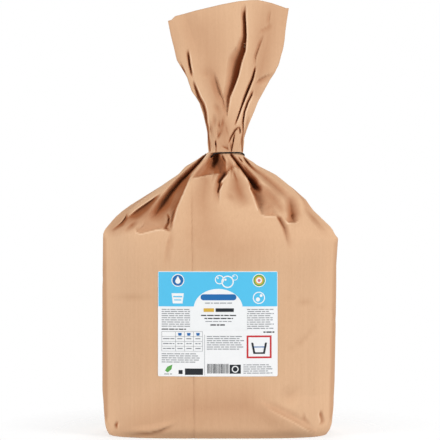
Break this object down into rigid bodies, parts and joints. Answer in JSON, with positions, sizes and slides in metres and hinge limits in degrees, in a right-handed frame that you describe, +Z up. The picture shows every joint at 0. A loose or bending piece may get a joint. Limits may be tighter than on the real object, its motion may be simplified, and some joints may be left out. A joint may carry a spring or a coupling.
{
  "type": "tied paper bag of washing powder",
  "caption": "Filled kraft paper bag gathered at the neck with a black wire tie, mouth fanned out above it, with a blue and white label on the front.",
  "frame": {"origin": "middle of the foot, on the surface that the bag stands on", "axes": "+Z up, -Y out of the front with the label, +X to the right seen from the front"},
  "size_m": [0.24, 0.1322, 0.444],
  "materials": {
    "kraft_paper": "matte brown kraft paper with soft creases",
    "label_paper": "satin white label with blue and grey print",
    "black_wire": "black coated tie wire"
  },
  "bodies": {
    "root": {"paper_bag": "kraft_paper", "label": "label_paper", "wire_tie": "black_wire"}
  },
  "joints": []
}
